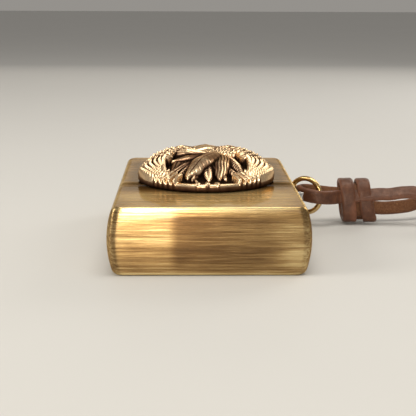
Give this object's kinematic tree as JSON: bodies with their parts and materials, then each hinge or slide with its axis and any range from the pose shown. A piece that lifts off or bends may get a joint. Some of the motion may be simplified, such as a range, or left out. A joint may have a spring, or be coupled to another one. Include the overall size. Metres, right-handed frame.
{
  "type": "windproof flip-lid lighter",
  "caption": "Windproof petrol lighter with a side-hinged flip lid, a round relief medallion on the front, a ring in a side loop and a knotted leather lanyard.",
  "frame": {"origin": "centre of the back face, on the surface that the lighter lies on", "axes": "+Z out of the front face, +Y towards the base end, +X towards the hinge side"},
  "size_m": [0.1104, 0.0627, 0.0192],
  "materials": {
    "antique_brass": "brushed across the width, antique patina, clear lacquer",
    "bronze": "cast relief, dark patina in the recesses, rubbed bright on the high spots",
    "plain_brass": "polished",
    "nickel": "polished nickel plate",
    "stainless_steel": "satin stamped sheet",
    "dark_steel": "hardened, dark, file-cut teeth",
    "flint_alloy": "matt dark grey alloy",
    "leather": "smooth grain face, rough flesh side, waxed",
    "cotton": "raw cotton",
    "felt": "pressed wool felt",
    "adhesive": "cured epoxy"
  },
  "bodies": {
    "case": {"case_shell": "antique_brass", "hinge_case_leaf": "nickel", "hinge_pin": "nickel", "medallion": "bronze", "medallion_adhesive": "adhesive", "insert_shell": "stainless_steel", "windscreen": "stainless_steel", "wheel_axle": "stainless_steel", "cam_pin": "stainless_steel", "cam_spring": "stainless_steel", "flint_tube": "plain_brass", "flint": "flint_alloy", "flint_spring": "stainless_steel", "flint_screw": "plain_brass", "wick": "cotton", "cotton_ball_1": "cotton", "cotton_ball_2": "cotton", "cotton_ball_3": "cotton", "cotton_ball_4": "cotton", "felt_pad": "felt", "lanyard_loop": "plain_brass"},
    "lid": {"lid_shell": "antique_brass", "hinge_lid_leaf": "nickel"},
    "cam": {"cam_lever": "stainless_steel"},
    "wheel": {"flint_wheel": "dark_steel"},
    "lanyard": {"lanyard_ring": "plain_brass", "lanyard_bight": "leather", "lanyard_knot": "leather", "lanyard_strand_front": "leather", "lanyard_strand_rear": "leather", "lanyard_coil": "leather"}
  },
  "joints": [
    {"name": "lid_hinge", "type": "hinge", "parent": "case", "child": "lid", "pos_m": [0.0189, -0.006, 0.0065], "axis": [0, 0, 1], "range_deg": [0, 125]},
    {"name": "cam_pivot", "type": "hinge", "parent": "case", "child": "cam", "pos_m": [0.014, -0.01, 0.0065], "axis": [0, 0, 1], "range_deg": [0, 44]},
    {"name": "wheel_spin", "type": "hinge", "parent": "case", "child": "wheel", "pos_m": [-0.0116, -0.0124, 0.0065], "axis": [0, 0, 1], "continuous": true},
    {"name": "ring_swing", "type": "hinge", "parent": "case", "child": "lanyard", "pos_m": [0.01991, 0.01737, 0.00647], "axis": [0, 0, 1], "range_deg": [-14, 45]}
  ],
  "couplings": [
    {"joint": "cam_pivot", "follows": "lid_hinge", "ratio": 0.35}
  ]
}
